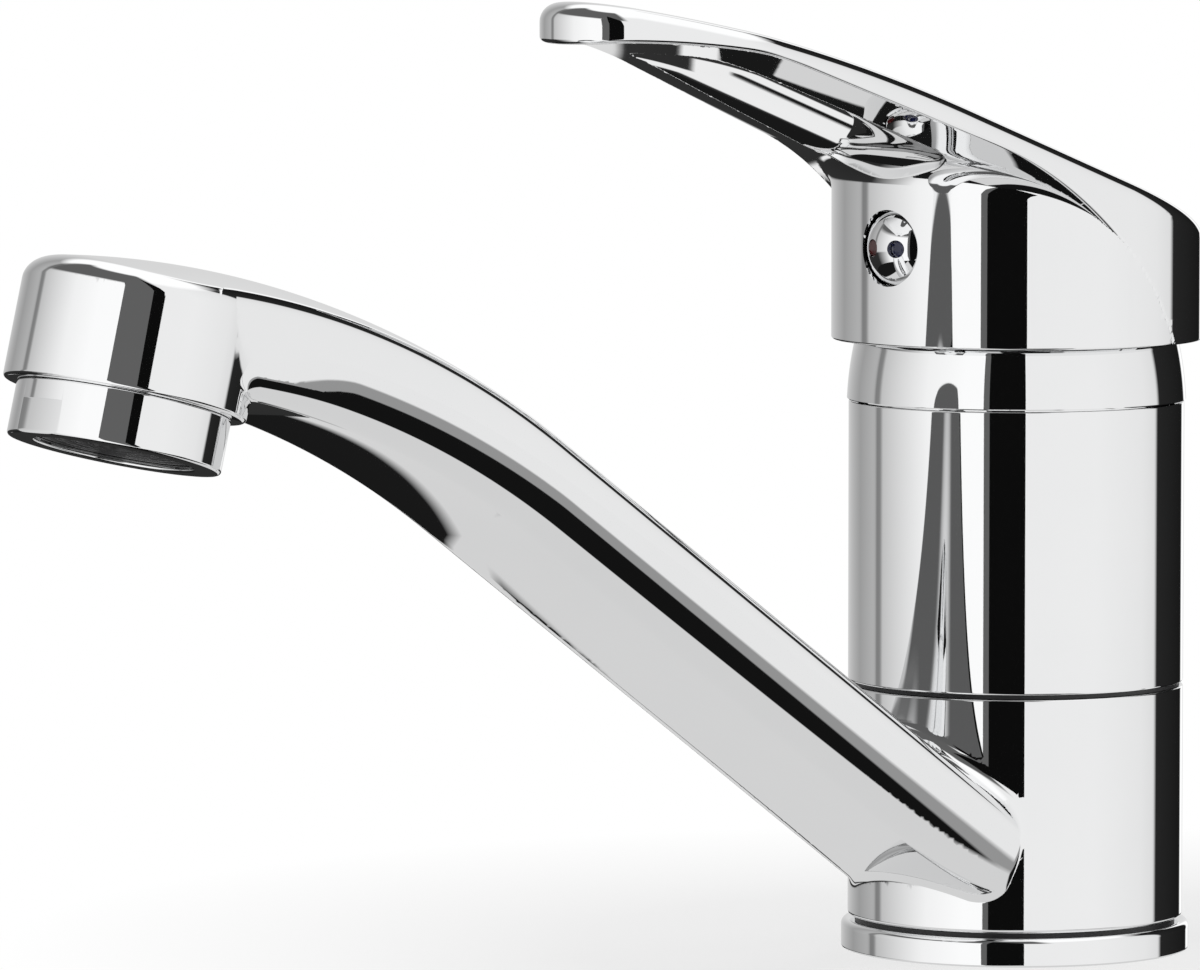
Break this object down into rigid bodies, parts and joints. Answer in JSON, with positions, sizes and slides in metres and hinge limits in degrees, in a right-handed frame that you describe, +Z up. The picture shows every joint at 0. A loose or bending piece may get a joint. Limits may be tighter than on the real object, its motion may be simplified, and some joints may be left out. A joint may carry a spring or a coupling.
{
  "type": "bathroom sink faucet",
  "caption": "Deck-mounted single-lever basin mixer: round body, rising swivel spout with a round head and aerator, and a lever that lifts for flow and turns for temperature.",
  "frame": {"origin": "on the deck, at the middle of the column's underside", "axes": "+Z is up along the column, the spout and the lever point along -Y at rest, +X is the cold side"},
  "size_m": [0.0508, 0.2025, 0.1317],
  "materials": {
    "chrome": "polished",
    "rubber": "matte",
    "slide_plastic": "satin",
    "outlet_plastic": "satin",
    "cartridge_plastic": "satin",
    "steel": "brushed",
    "ceramic": "lapped",
    "brass": "machined",
    "hot_enamel": "gloss",
    "cold_enamel": "gloss"
  },
  "bodies": {
    "base": {"base_ring": "chrome", "base_gasket": "rubber", "main_body": "chrome", "lower_slide_ring": "slide_plastic", "upper_slide_ring": "slide_plastic", "lower_spout_seal": "rubber", "upper_spout_seal": "rubber", "cartridge_base": "cartridge_plastic", "port_seals": "rubber", "fixed_ceramic_disc": "ceramic", "cartridge_housing": "cartridge_plastic", "cartridge_nut": "brass", "dome_cap": "chrome"},
    "spout_arm": {"spout": "chrome", "aerator_housing": "chrome", "aerator_insert": "outlet_plastic", "aerator_screen": "steel", "outlet_gasket": "rubber"},
    "lever_mount": {"stem_holder": "slide_plastic", "pivot_pin": "steel"},
    "mixing_disc": {"moving_ceramic_disc": "ceramic", "disc_carrier": "slide_plastic"},
    "lever": {"lever_stem": "brass", "handle": "chrome", "index_plug": "chrome", "hot_dot": "hot_enamel", "cold_dot": "cold_enamel", "grub_screw": "steel"}
  },
  "joints": [
    {"name": "spout_swivel", "type": "hinge", "parent": "base", "child": "spout_arm", "pos_m": [0, 0, 0.0206], "axis": [0, 0, 1], "continuous": true},
    {"name": "lever_turn", "type": "hinge", "parent": "base", "child": "lever_mount", "pos_m": [0, 0, 0.07], "axis": [0, 0, 1], "range_deg": [-50, 50]},
    {"name": "lever_lift", "type": "hinge", "parent": "lever_mount", "child": "lever", "pos_m": [0, 0, 0.07], "axis": [-1, 0, 0], "range_deg": [0, 25]},
    {"name": "disc_slide", "type": "slide", "parent": "lever_mount", "child": "mixing_disc", "axis": [0, -1, 0], "range_m": [0, 0.00439]}
  ],
  "couplings": [
    {"joint": "disc_slide", "follows": "lever_lift", "m_per_rad": 0.010073}
  ]
}
